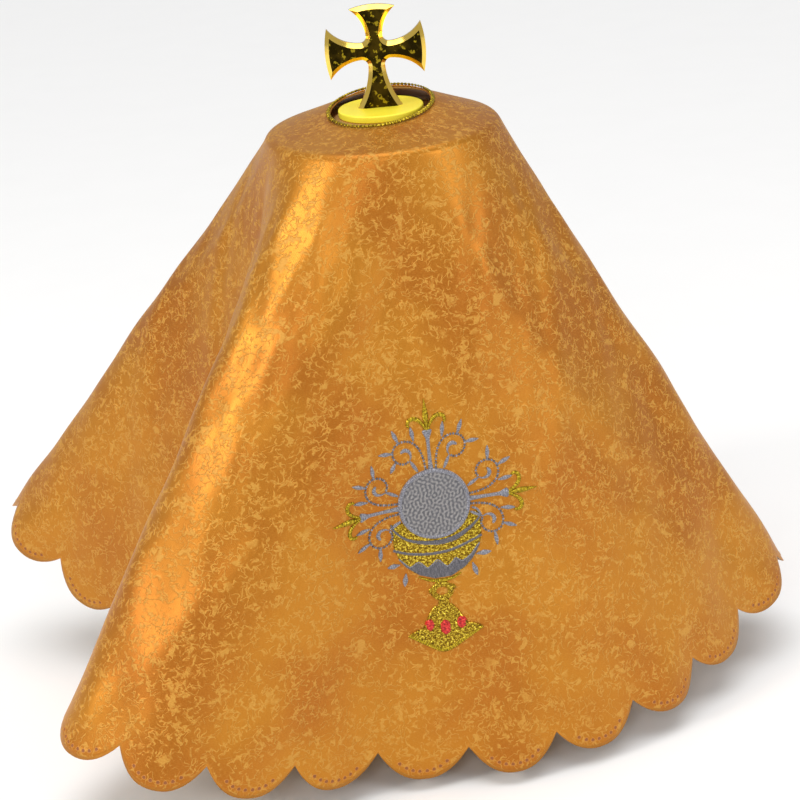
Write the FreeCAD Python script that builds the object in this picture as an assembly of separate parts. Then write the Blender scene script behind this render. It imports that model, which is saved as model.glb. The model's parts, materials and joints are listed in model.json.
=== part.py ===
"""Veiled ciborium: footed cup, lid with a cross, and a lined cloth veil over both.

Millimetres, +Z up. The origin is the centre of the foot's underside. The front of the
veil, which carries the embroidered emblem, faces -Y.
"""
import FreeCAD, Part
import bisect
import math
import os
from FreeCAD import Vector

os.makedirs("parts", exist_ok=True)

# ---- driving dimensions -------------------------------------------------------------
FOOT_RADIUS = 63.0
FELT = 1.2                 # pad under the foot
PLATE = 1.2                # closes the foot
FOOT_RING = 3.6
FOOT_TOP = 48.0            # height of the foot's apex, where the stem starts
STEM_RADIUS = 7.5
KNOP_RADIUS = 24.0
KNOP_HEIGHT = 40.0
CUP_BASE = 207.0           # underside of the bowl
CUP_RADIUS = 51.5          # outside of the mouth
CUP_TOP = 291.0            # lip, where the lid rests
WALL = 1.2                 # spun sheet
ROD_RADIUS = 4.0
FIT = 0.1                  # clearance between parts that are screwed or slipped together

LID_RIM_RADIUS = 53.6
LID_TOP = 310.0            # raised seat of the boss
LID_STEP = 307.6           # foot of that seat, where the lid's slope starts
LID_CROWN = 303.4          # outer end of the slope
BOSS_RADIUS = 20.25
BOSS_HEIGHT = 3.4
CROSS_SPAN = 23.6          # from the centre to the end of a side arm
CROSS_HEAD = 21.6          # from the centre to the end of the upper arm
CROSS_THICKNESS = 6.0
CROSS_BEVEL = 2.0
CROSS_FOOT = 26.6          # from the centre down to the boss
SIDE_ARM_END = 12.0        # half width of a side arm at its end
HEAD_ARM_END = 10.6        # half width of the upper and lower arms at their ends
ARM_WAIST = 3.9            # half width of an arm where it is narrowest
CORNER_RADIUS = 3.0        # of the hollow between two arms
END_CROWN = 1.6            # how far an arm's end bulges
STUD_RADIUS = 2.5

CLOTH = 0.9                # damask and its interlining
LINING = 0.6
HOLE_RADIUS = 24.0         # lets the cross pass
RING_HEIGHT = 313.6        # mean height of the cloth at the hole
RING_TILT = 3.9            # how far the hole's edge dips
DIP_AZIMUTH = 245.0        # degrees: where it is lowest
SHOULDER_RADIUS = 55.0
SHOULDER_HEIGHT = 304.4
SKIRT = 288.0              # along the cloth, from the shoulder to the notches of the hem
SCALLOPS = 30
SCALLOP_DEPTH = 14.5
SCALLOP_PHASE = -0.05      # of one scallop
SHOULDER_TURN = 230.2      # degrees: where the first azimuth of the hem hangs from
BRAID_RADIUS = 1.0
BRAID_LIFT = 0.35          # keeps the flat ring clear of the steeper side of the top
THREAD = 0.8               # thickness of the embroidery
THREAD_GAP = 0.08          # keeps the embroidery's flat facets off the cloth's
EMBLEM_SHARE = 0.156       # place of the emblem's host: share of the hem's length,
EMBLEM_DROP = 165.0        # and distance below the shoulder
EMBLEM_LEAN = 3.5          # degrees, towards the left
HOST_RADIUS = 16.4

# the hem's outline seen from above: azimuth in degrees, distance from the axis
HEM = [(208, 200), (217, 196), (226, 184), (236, 150), (248, 110), (268, 98), (295, 108),
       (319, 121), (340, 141), (356, 166), (5, 188), (14, 178), (25, 140), (45, 112),
       (64, 128), (76, 176), (85, 200), (93, 182), (105, 136), (121, 114), (137, 140),
       (147, 205), (153, 242), (159, 234), (164, 186), (172, 144), (183, 126), (194, 146),
       (201, 180)]

BOSS_TOP = LID_TOP + BOSS_HEIGHT
CROSS_CENTRE = BOSS_TOP + CROSS_FOOT
CUP_INNER = CUP_RADIUS - WALL


def save(shape, name):
    shape.exportStep("parts/%s.step" % name)
    print("%-18s valid %s  %9.0f mm3" % (name, shape.isValid(), shape.Volume))


# ---- turned and spun pieces ---------------------------------------------------------
def outline(points):
    """Edges through (r, z) points; a pair of points stands for an arc: middle, end."""
    edges = []
    here = Vector(points[0][0], 0, points[0][1])
    for point in points[1:]:
        if isinstance(point[0], tuple):
            middle, end = (Vector(r, 0, z) for r, z in point)
            edges.append(Part.Arc(here, middle, end).toShape())
        else:
            end = Vector(point[0], 0, point[1])
            edges.append(Part.makeLine(here, end))
        here = end
    return edges


def turned(points):
    """Solid of revolution of a closed outline."""
    edges = outline(points + [points[0]])
    face = Part.Face(Part.Wire(edges))
    return face.revolve(Vector(), Vector(0, 0, 1), 360)


def ring(inner, outer, bottom, top, edge=0.0):
    """Plain ring whose outer edges are rounded by the given radius."""
    if not edge:
        return turned([(inner, bottom), (outer, bottom), (outer, top), (inner, top)])
    bulge = edge * (1 - math.sqrt(0.5))
    return turned([(inner, bottom), (outer - edge, bottom),
                   ((outer - bulge, bottom + bulge), (outer, bottom + edge)),
                   (outer, top - edge),
                   ((outer - bulge, top - bulge), (outer - edge, top)), (inner, top)])


def hexagonal_nut(across_flats, bore, bottom, height):
    corner = across_flats / math.sqrt(3)
    corners = [Vector(corner * math.cos(math.radians(60 * i)),
                      corner * math.sin(math.radians(60 * i)), bottom) for i in range(7)]
    nut = Part.Face(Part.makePolygon(corners)).extrude(Vector(0, 0, height))
    return nut.cut(Part.makeCylinder(bore, height, Vector(0, 0, bottom)))


def foot():
    inside = FOOT_RADIUS - 2.0
    ring_base = FELT + PLATE
    base = ring_base + FOOT_RING
    save(Part.makeCylinder(FOOT_RADIUS - 5, FELT), "foot_felt")
    save(Part.makeCylinder(FOOT_RADIUS - 2.5, PLATE, Vector(0, 0, FELT)), "foot_plate")
    save(ring(inside - 8, FOOT_RADIUS, ring_base, base, 1.6), "foot_ring")
    shell = turned([
        (inside, base), (inside, 8), ((inside - 1.3, 10.9), (inside - 5, 12)),
        (50, 13.2), ((47.6, 14), (46.5, 16.5)), ((27, 25), (16, 40)),
        ((14.4, 44.6), (14, FOOT_TOP)), (ROD_RADIUS + FIT, FOOT_TOP),
        (ROD_RADIUS + FIT, FOOT_TOP - WALL), (12.8, FOOT_TOP - WALL),
        ((13.2, 43.8), (14.8, 39.4)), ((26, 24), (45.6, 15.3)),
        ((46.8, 12.9), (49.6, 12)), (inside - 5.2, 10.8),
        ((inside - 2.3, 9.9), (inside - WALL, 8)), (inside - WALL, base)])
    save(shell, "foot_shell")
    washer_top = FOOT_TOP - WALL
    save(ring(ROD_RADIUS + FIT, 11, washer_top - 1.5, washer_top), "foot_washer")
    save(hexagonal_nut(13, ROD_RADIUS + FIT, washer_top - 8, 6.5), "foot_nut")


def stem():
    bore = ROD_RADIUS + FIT
    knop_base = 106.0
    knop_top = knop_base + KNOP_HEIGHT
    socket_base = CUP_BASE - 11
    save(ring(bore, 15, FOOT_TOP, FOOT_TOP + 5, 1.6), "foot_collar")
    save(spindle(FOOT_TOP + 5, knop_base - 4, bore), "lower_stem")
    save(ring(bore, 12, knop_base - 4, knop_base, 1.4), "lower_knop_collar")
    middle = knop_base + KNOP_HEIGHT / 2
    knop = turned([(bore, knop_base), (10.5, knop_base),
                   ((KNOP_RADIUS * 0.86, middle - 11.5), (KNOP_RADIUS - 0.8, middle - 2.5)),
                   (KNOP_RADIUS, middle - 1.6), (KNOP_RADIUS, middle + 1.6),
                   (KNOP_RADIUS - 0.8, middle + 2.5),
                   ((KNOP_RADIUS * 0.86, middle + 11.5), (10.5, knop_top)), (bore, knop_top)])
    save(knop, "knop")
    save(ring(bore, 12, knop_top, knop_top + 4, 1.4), "upper_knop_collar")
    save(spindle(knop_top + 4, socket_base - 5, bore), "upper_stem")
    save(ring(bore, 13, socket_base - 5, socket_base, 1.6), "cup_collar")
    save(Part.makeCylinder(ROD_RADIUS, socket_base + 7 - 32, Vector(0, 0, 32)), "tie_rod")
    socket = turned([(0, CUP_BASE), (9, CUP_BASE), (9, socket_base), (bore, socket_base),
                     (bore, socket_base + 7.5), (0, socket_base + 7.5)])
    save(socket, "cup_socket")


def spindle(bottom, top, bore):
    """Waisted tube between two collars."""
    middle = (bottom + top) / 2
    return turned([(bore, bottom), (STEM_RADIUS + 2, bottom),
                   ((STEM_RADIUS, middle), (STEM_RADIUS + 2, top)), (bore, top)])


def cup():
    side = [Vector(r, 0, z) for r, z in ((14, CUP_BASE), (37.5, 218), (48, 245))]
    belly = Part.Arc(*side).toShape().Curve

    def beside(angle, gap):
        """Point of the belly's arc, moved outwards; 0 degrees is level with its centre."""
        turn = math.radians(angle)
        reach = belly.Radius + gap
        return (belly.Center.x + reach * math.cos(turn), belly.Center.z + reach * math.sin(turn))

    def angle_of(r, z):
        return math.degrees(math.atan2(z - belly.Center.z, r - belly.Center.x))

    low, high = angle_of(14, CUP_BASE), angle_of(48, 245)
    middle = (low + high) / 2
    bowl = turned([
        (0, CUP_BASE), (14, CUP_BASE), (beside(middle, 0), (48, 245)),
        ((51, 266), (CUP_RADIUS, 280)), (CUP_RADIUS, CUP_TOP), (CUP_INNER, CUP_TOP),
        (CUP_INNER, 280), ((49.8, 266), beside(high, -WALL)),
        (beside(middle, -WALL), (13.6, CUP_BASE + WALL)), (0, CUP_BASE + WALL)])
    save(bowl, "cup_bowl")
    gap = 0.3
    foot_radius = 9 + gap
    edge = high - 12
    halfway = (low + edge) / 2
    calyx = turned([
        (foot_radius, CUP_BASE - gap), (14, CUP_BASE - gap), beside(low, gap),
        (beside(halfway, gap), beside(edge, gap)), beside(edge, gap + WALL),
        (beside(halfway, gap + WALL), beside(low, gap + WALL)),
        ((12.2, CUP_BASE - 4.5), (11.4, CUP_BASE - 9)), (foot_radius, CUP_BASE - 9)])
    save(calyx, "cup_calyx")
    save(ring(CUP_RADIUS, CUP_RADIUS + 1.5, CUP_TOP - 3.5, CUP_TOP, 1.0), "cup_rim_bead")


def lid():
    rim_bottom = CUP_TOP + 0.25
    rim_top = CUP_TOP + 5
    slope_edge = 50.2
    seat = BOSS_RADIUS + 1.3
    under = LID_CROWN - WALL
    dome = turned([
        (slope_edge, LID_CROWN), (seat + 2.2, LID_STEP),
        ((seat + 1, LID_TOP - 0.8), (seat - 0.4, LID_TOP)), (2.6, LID_TOP),
        (2.6, LID_TOP - WALL), (seat - 1, LID_TOP - WALL), (seat + 0.9, LID_STEP - WALL),
        (slope_edge, under)])
    save(dome, "lid_dome")
    band = turned([
        (52.7, rim_top), (52.7, LID_CROWN - 3.2),
        ((52.1, LID_CROWN - 1.2), (slope_edge, LID_CROWN)), (slope_edge, under),
        ((51.2, LID_CROWN - 1.9), (51.6, LID_CROWN - 3.4)), (51.6, rim_top)])
    save(band, "lid_band")
    save(ring(49.8, LID_RIM_RADIUS, rim_bottom, rim_top, 1.4), "lid_rim")
    save(ring(48.8, 49.8, CUP_TOP - 7, rim_top), "lid_sleeve")
    boss = ring(2.6, BOSS_RADIUS, LID_TOP, BOSS_TOP, 0.7)
    save(boss, "lid_boss")
    washer_top = LID_TOP - WALL
    save(ring(2.6, 7, washer_top - 1, washer_top), "lid_washer")
    save(hexagonal_nut(8, 2.6, washer_top - 5, 4), "lid_nut")


# ---- cross --------------------------------------------------------------------------
def arm_edges(reach, end_width, flat_end):
    """Outline of one flared arm along +X, from one inner corner round to the next."""
    corner = ARM_WAIST + CORNER_RADIUS
    waist = (corner, ARM_WAIST)
    side = (corner + (reach - corner) * 0.5, ARM_WAIST + (end_width - ARM_WAIST) * 0.27)
    tip = (reach - (0 if flat_end else END_CROWN), end_width)
    nook = ARM_WAIST + CORNER_RADIUS * 0.3
    upper = [Vector(x, y, 0) for x, y in (waist, side, tip)]
    lower = [Vector(v.x, -v.y, 0) for v in reversed(upper)]
    if flat_end:
        end = Part.makeLine(upper[2], lower[0])
    else:
        end = Part.Arc(upper[2], Vector(reach, 0, 0), lower[0]).toShape()
    next_waist = Vector(ARM_WAIST, -corner, 0)
    return [Part.Arc(*upper).toShape(), end, Part.Arc(*lower).toShape(),
            Part.Arc(lower[2], Vector(nook, -nook, 0), next_waist).toShape()]


def cross():
    arms = [(CROSS_SPAN, SIDE_ARM_END, False), (CROSS_FOOT, HEAD_ARM_END, True),
            (CROSS_SPAN, SIDE_ARM_END, False), (CROSS_HEAD, HEAD_ARM_END, False)]
    edges = []
    for quarter, arm in enumerate(arms):
        for edge in arm_edges(*arm):
            edge.rotate(Vector(), Vector(0, 0, 1), -90 * quarter)
            edges.append(edge)
    half = CROSS_THICKNESS / 2
    body = Part.Face(Part.Wire(edges)).extrude(Vector(0, 0, CROSS_THICKNESS))
    body.translate(Vector(0, 0, -half))
    rim = [e for e in body.Edges if abs(abs(e.CenterOfMass.z) - half) < 1e-6
           and e.CenterOfMass.y > 0.1 - CROSS_FOOT]
    body = body.makeChamfer(CROSS_BEVEL, rim)
    body.rotate(Vector(), Vector(1, 0, 0), 90)
    body.translate(Vector(0, 0, CROSS_CENTRE))
    socket = Part.makeCylinder(STUD_RADIUS, 9, Vector(0, 0, BOSS_TOP - 1))
    save(body.cut(socket), "cross")
    save(Part.makeCylinder(STUD_RADIUS, 18, Vector(0, 0, BOSS_TOP - 10)), "cross_stud")


# ---- veil ---------------------------------------------------------------------------
def hem_reach(azimuth):
    """Distance of the hem from the axis: a smooth closed curve through HEM."""
    turns = [HEM[0][0]]
    for (here, _), (ahead, _) in zip(HEM, HEM[1:] + HEM[:1]):
        turns.append(turns[-1] + (ahead - here) % 360)
    last = len(HEM) - 1
    azimuth = (azimuth - turns[0]) % 360 + turns[0]
    i = min(bisect.bisect_right(turns, azimuth) - 1, last)
    a = [turns[i - 1] if i else turns[last] - 360, turns[i], turns[i + 1],
         turns[i + 2] if i < last else turns[1] + 360]
    r = [HEM[(i + j) % len(HEM)][1] for j in (-1, 0, 1, 2)]
    span = a[2] - a[1]
    t = (azimuth - a[1]) / span
    before = (r[2] - r[0]) / (a[2] - a[0]) * span
    after = (r[3] - r[1]) / (a[3] - a[1]) * span
    return (r[1] * (1 + 2 * t) * (1 - t) ** 2 + before * t * (1 - t) ** 2
            + r[2] * t * t * (3 - 2 * t) + after * t * t * (t - 1))


def hang(steps=720, passes=5):
    """The hem's notch line: points, and each point's share of the hem's length."""
    azimuths = [HEM[0][0] + 360 * i / steps for i in range(steps + 1)]
    plan = [Vector(hem_reach(a) * math.cos(math.radians(a)),
                   hem_reach(a) * math.sin(math.radians(a)), 0) for a in azimuths]
    line = plan
    for _ in range(passes):
        share = [0.0]
        for a, b in zip(line, line[1:]):
            share.append(share[-1] + (b - a).Length)
        length = share[-1]
        share = [s / length for s in share]
        line = []
        for p, s in zip(plan, share):
            top = on_circle(SHOULDER_RADIUS, 0, s)
            fall = math.sqrt(SKIRT ** 2 - (p - top).Length ** 2)
            line.append(Vector(p.x, p.y, SHOULDER_HEIGHT - fall))
    return line, share, length


def on_circle(radius, height, share):
    turn = math.radians(SHOULDER_TURN + 360 * share)
    return Vector(radius * math.cos(turn), radius * math.sin(turn), height)


def hole_point(share, depth):
    """Point of the hole's edge, which dips to one side, so far under the cloth's face."""
    point = on_circle(HOLE_RADIUS, RING_HEIGHT, share)
    dip = math.radians(DIP_AZIMUTH)
    outwards = (point.x * math.cos(dip) + point.y * math.sin(dip)) / HOLE_RADIUS
    return point - Vector(0, 0, RING_TILT * outwards + depth * 1.05)


HEM_LINE, HEM_SHARE, HEM_LENGTH = hang()


def notch_point(share):
    """Point of the notch line at a share of the hem's length."""
    share = share % 1.0
    low, high = 0, len(HEM_SHARE) - 1
    while high - low > 1:
        middle = (low + high) // 2
        if HEM_SHARE[middle] <= share:
            low = middle
        else:
            high = middle
    t = (share - HEM_SHARE[low]) / (HEM_SHARE[high] - HEM_SHARE[low])
    return HEM_LINE[low] * (1 - t) + HEM_LINE[high] * t


def on_skirt(share, along, depth):
    """Point of the skirt, so far along the cloth from the shoulder and under its face."""
    top = on_circle(SHOULDER_RADIUS, SHOULDER_HEIGHT, share)
    fall = (notch_point(share) - top).normalize()
    step = 0.004
    ahead = on_circle(SHOULDER_RADIUS, SHOULDER_HEIGHT, share + step)
    behind = on_circle(SHOULDER_RADIUS, SHOULDER_HEIGHT, share - step)
    reach = max(along, SKIRT * 0.3)
    ahead += (notch_point(share + step) - ahead).normalize() * reach
    behind += (notch_point(share - step) - behind).normalize() * reach
    outward = fall.cross(ahead - behind).normalize()
    if outward.dot(Vector(top.x, top.y, 0)) < 0:
        outward = outward * -1
    return top + fall * along - outward * depth


def scallop(t):
    """Depth of a scallop below its notches, 0 to 1 across it."""
    return SCALLOP_DEPTH * (1 - abs(2 * t - 1) ** 2.4)


def smooth_edge(points):
    curve = Part.BSplineCurve()
    curve.interpolate(Points=points, Parameters=[i / (len(points) - 1) for i in
                                                 range(len(points))])
    return curve.toShape()


def gore_edges(index, depth, inset, steps=12):
    """Edges of one gore of a cloth layer, from the hole to the scallop."""
    shares = [(index + SCALLOP_PHASE + i / steps) / SCALLOPS for i in range(steps + 1)]
    hole = [hole_point(s, depth) for s in shares]
    shoulder = [on_circle(SHOULDER_RADIUS - depth, SHOULDER_HEIGHT - depth * 0.85, s)
                for s in shares]
    hem = [on_skirt(s, SKIRT - inset + scallop(i / steps), depth)
           for i, s in enumerate(shares)]
    return [smooth_edge(points) for points in (hole, shoulder, hem)]


def cloth_layer(outer, inner, inset=0.0):
    """Closed solid of one layer of the veil, between two depths under its face."""
    faces = []
    for index in range(SCALLOPS):
        face_edges = gore_edges(index, outer, inset)
        back_edges = gore_edges(index, inner, inset)
        loop = face_edges + back_edges[::-1]
        for a, b in zip(loop, loop[1:] + loop[:1]):
            faces.append(Part.makeRuledSurface(a, b))
    shell = Part.Shell(faces)
    shell.sewShape()
    solid = Part.Solid(shell)
    if solid.Volume < 0:
        solid.reverse()
    return solid


def veil():
    save(cloth_layer(0, CLOTH), "veil_cloth")
    save(cloth_layer(CLOTH, CLOTH + LINING, 1.5), "veil_lining")
    radius = HOLE_RADIUS + BRAID_RADIUS
    fall = BRAID_RADIUS / (SHOULDER_RADIUS - HOLE_RADIUS)
    height = RING_HEIGHT - (RING_HEIGHT - SHOULDER_HEIGHT) * fall
    lean = math.atan2(RING_TILT * (1 - fall), radius)
    dip = math.radians(DIP_AZIMUTH)
    braid = Part.makeTorus(radius, BRAID_RADIUS)
    braid.rotate(Vector(), Vector(-math.sin(dip), math.cos(dip), 0), math.degrees(lean))
    braid.translate(Vector(0, 0, height + BRAID_RADIUS + BRAID_LIFT))
    save(braid, "opening_braid")


# ---- emblem -------------------------------------------------------------------------
def emblem_placement():
    """A plane that touches the cloth at the host's centre, its Y axis up the cloth."""
    centre = on_skirt(EMBLEM_SHARE, EMBLEM_DROP, 0)
    upward = (on_skirt(EMBLEM_SHARE, EMBLEM_DROP - 1, 0) - centre).normalize()
    outward = (on_skirt(EMBLEM_SHARE, EMBLEM_DROP, -1) - centre).normalize()
    turn = FreeCAD.Rotation(upward.cross(outward), upward, outward, "ZYX")
    lean = FreeCAD.Rotation(Vector(0, 0, 1), EMBLEM_LEAN)
    return FreeCAD.Placement(centre, turn.multiply(lean))


def thread_plate(inner, outer):
    """Curved plate that follows the cloth, between two heights above its face."""
    shares = [EMBLEM_SHARE - 0.075 + 0.15 * i / 40 for i in range(41)]
    top, bottom = EMBLEM_DROP - 62, EMBLEM_DROP + 84
    loop = [[on_skirt(s, along, -height) for s in shares]
            for along, height in ((top, outer), (bottom, outer), (bottom, inner), (top, inner))]
    edges = [smooth_edge(points) for points in loop]
    faces = [Part.makeRuledSurface(a, b) for a, b in zip(edges, edges[1:] + edges[:1])]
    for end in (0, -1):
        a, b, c, d = (points[end] for points in loop)
        faces.append(Part.makeRuledSurface(Part.makeLine(a, b), Part.makeLine(d, c)))
    shell = Part.Shell(faces)
    shell.sewShape()
    solid = Part.Solid(shell)
    if solid.Volume < 0:
        solid.reverse()
    return solid


def prism(points):
    """Upright prism on a closed outline in the emblem's plane."""
    corners = [Vector(x, y, -30) for x, y in points]
    return Part.Face(Part.makePolygon(corners + corners[:1])).extrude(Vector(0, 0, 60))


def disc(x, y, radius):
    return Part.makeCylinder(radius, 60, Vector(x, y, -30))


def petals(count, first, last, inner, outer):
    """Outline of a fan of petals about the host, between two angles in degrees."""
    points = []
    for i in range(2 * count + 1):
        angle = math.radians(first + (last - first) * i / (2 * count))
        reach = outer if i % 2 else inner
        points.append((reach * math.cos(angle), reach * math.sin(angle)))
    return points + [(0, -HOST_RADIUS * 0.5)]


def finial(angle):
    """Fleur-de-lis on its stalk, as a plain outline pointing away from the host."""
    outline_points = [(HOST_RADIUS, -1.2), (34, -1.2), (37, -5.5), (42, -4), (52, 0), (42, 4),
                      (37, 5.5), (34, 1.2), (HOST_RADIUS, 1.2)]
    turn = math.radians(angle)
    return prism([(x * math.cos(turn) - y * math.sin(turn),
                   x * math.sin(turn) + y * math.cos(turn)) for x, y in outline_points])


def emblem():
    place = emblem_placement()
    plate = thread_plate(THREAD_GAP, THREAD_GAP + THREAD)
    finials = finial(90).fuse([finial(0), finial(180)])
    bowl = prism([(-20.5, -9)] + [(-20.5 * math.cos(math.radians(a)),
                                   -9 - 29 * math.sin(math.radians(a)))
                                  for a in range(15, 180, 15)] + [(20.5, -9)])
    stem_ring = disc(0, -43, 5.2).cut(disc(0, -43, 2))
    base = prism([(-3, -49), (3, -49), (7, -55), (18, -64), (1, -74), (-17, -64), (-6, -55)])
    gems = disc(-7.5, -62, 2.2).fuse([disc(0, -63, 2.2), disc(7.5, -62, 2.2)])
    layers = [("emblem_host", disc(0, 0, HOST_RADIUS)), ("emblem_bowl", bowl),
              ("emblem_finials", finials),
              ("emblem_rays", prism(petals(11, -32, 212, 24, 37))),
              ("emblem_stem", stem_ring), ("emblem_foot", base)]
    done = []
    for name, shape in layers:
        rest = shape.cut(done) if done else shape.copy()
        rest.Placement = place.multiply(rest.Placement)
        save(plate.common(rest), name)
        done.append(shape)
    gems.Placement = place.multiply(gems.Placement)
    raised = thread_plate(THREAD + 2 * THREAD_GAP, 2 * THREAD)
    save(raised.common(gems), "emblem_gems")


foot()
stem()
cup()
lid()
cross()
veil()
emblem()
print("hem length %.0f mm, scallop pitch %.1f mm" % (HEM_LENGTH, HEM_LENGTH / SCALLOPS))
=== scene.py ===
import json
import math

import bpy
import numpy as np
from mathutils import Matrix, Vector

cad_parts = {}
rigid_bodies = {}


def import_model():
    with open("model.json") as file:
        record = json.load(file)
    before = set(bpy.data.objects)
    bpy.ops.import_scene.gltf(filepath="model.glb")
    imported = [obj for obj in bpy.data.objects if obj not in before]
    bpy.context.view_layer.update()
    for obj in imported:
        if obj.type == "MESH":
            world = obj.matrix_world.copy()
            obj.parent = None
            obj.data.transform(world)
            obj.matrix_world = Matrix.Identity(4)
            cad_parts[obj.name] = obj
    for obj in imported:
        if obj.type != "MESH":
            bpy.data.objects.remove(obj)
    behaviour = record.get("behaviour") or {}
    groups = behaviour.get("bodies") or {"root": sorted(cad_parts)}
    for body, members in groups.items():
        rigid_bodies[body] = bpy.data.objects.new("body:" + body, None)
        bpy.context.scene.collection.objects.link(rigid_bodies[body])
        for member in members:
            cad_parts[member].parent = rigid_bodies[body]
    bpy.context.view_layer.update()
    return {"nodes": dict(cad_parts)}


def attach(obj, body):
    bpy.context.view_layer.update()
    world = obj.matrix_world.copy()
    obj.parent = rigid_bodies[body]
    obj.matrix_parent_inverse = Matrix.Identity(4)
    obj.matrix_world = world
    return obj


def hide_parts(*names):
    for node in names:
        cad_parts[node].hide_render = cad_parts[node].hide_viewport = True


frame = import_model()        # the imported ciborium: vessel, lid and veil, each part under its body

mm = 0.001
nodes = frame["nodes"]


def deselectAll():
    if bpy.context.object and bpy.context.object.mode != "OBJECT":
        bpy.ops.object.mode_set(mode="OBJECT")
    bpy.ops.object.select_all(action="DESELECT")


def srgb(red, green, blue):  # screen colour, 0 to 255, as the linear colour a shader wants
    return tuple((c / 255 / 12.92 if c < 10.3 else ((c / 255 + 0.055) / 1.055) ** 2.4)
                 for c in (red, green, blue)) + (1.0,)


deselectAll()
print("frame loaded:", len(nodes), "nodes")


# finishes: a Wire is a value on its way through a material, and does sums with others

class Wire:
    def __init__(self, finish, end):
        self.finish, self.end = finish, end

    def sum(self, operation, *values):
        return self.finish.node("ShaderNodeMath", {"operation": operation}, dict(enumerate(values)))

    def __add__(self, other): return self.sum("ADD", self, other)
    def __radd__(self, other): return self.sum("ADD", other, self)
    def __sub__(self, other): return self.sum("SUBTRACT", self, other)
    def __rsub__(self, other): return self.sum("SUBTRACT", other, self)
    def __mul__(self, other): return self.sum("MULTIPLY", self, other)
    def __rmul__(self, other): return self.sum("MULTIPLY", other, self)
    def __truediv__(self, other): return self.sum("DIVIDE", self, other)
    def __abs__(self): return self.sum("ABSOLUTE", self)
    def most(self, other): return self.sum("MAXIMUM", self, other)

    def rise(self, low, high, start=0.0, end=1.0):  # soft step from start to end between low and high
        return self.finish.node("ShaderNodeMapRange", {"interpolation_type": "SMOOTHSTEP"},
                                {"Value": self, "From Min": low, "From Max": high,
                                 "To Min": start, "To Max": end})


class Finish:
    def __init__(self, name, **constants):
        self.material = bpy.data.materials.new(name)
        self.material.use_nodes = True
        self.tree = self.material.node_tree
        self.shader = self.tree.nodes["Principled BSDF"]
        for socket, value in constants.items():
            words = "".join(" " + c if c.isupper() else c for c in socket).strip()
            self.shader.inputs[words].default_value = value
        self.material.diffuse_color = self.shader.inputs["Base Color"].default_value

    def node(self, kind, settings=None, inputs=None, output=0):
        made = self.tree.nodes.new(kind)
        for setting, value in (settings or {}).items():
            if setting == "stops":
                ramp = made.color_ramp.elements
                while len(ramp) < len(value):
                    ramp.new(0.5)
                for element, (place, colour) in zip(ramp, value):
                    element.position, element.color = place, colour
            else:
                setattr(made, setting, value)
        for socket, value in (inputs or {}).items():
            if isinstance(value, Wire):
                self.tree.links.new(value.end, made.inputs[socket])
            else:
                made.inputs[socket].default_value = value
        return Wire(self, made.outputs[output])

    def place(self):
        return self.node("ShaderNodeTexCoord", output="Object")

    def cut(self, name="cut"):
        return self.node("ShaderNodeUVMap", {"uv_map": name})

    def value(self, name):
        return self.node("ShaderNodeAttribute", {"attribute_name": name}, output="Fac")

    def noise(self, where, size, detail=2.0, distortion=0.0, roughness=0.5):  # size: of a feature, in mm
        return self.node("ShaderNodeTexNoise", None,
                         {"Vector": where, "Scale": 1 / (size * mm), "Detail": detail,
                          "Roughness": roughness, "Distortion": distortion})

    def stretch(self, where, scale, turn=0.0):
        return self.node("ShaderNodeMapping", None,
                         {"Vector": where, "Scale": scale, "Rotation": (0, 0, turn)})

    def mix(self, factor, first, second):
        return self.node("ShaderNodeMix", {"data_type": "RGBA"}, {0: factor, 6: first, 7: second}, 2)

    def bump(self, height, depth, strength=1.0):  # depth in mm
        self.feed("Normal", self.node("ShaderNodeBump", None,
                                      {"Height": height, "Distance": depth * mm, "Strength": strength}))

    def feed(self, socket, wire):
        self.tree.links.new(wire.end, self.shader.inputs[socket])
        return self


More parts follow.
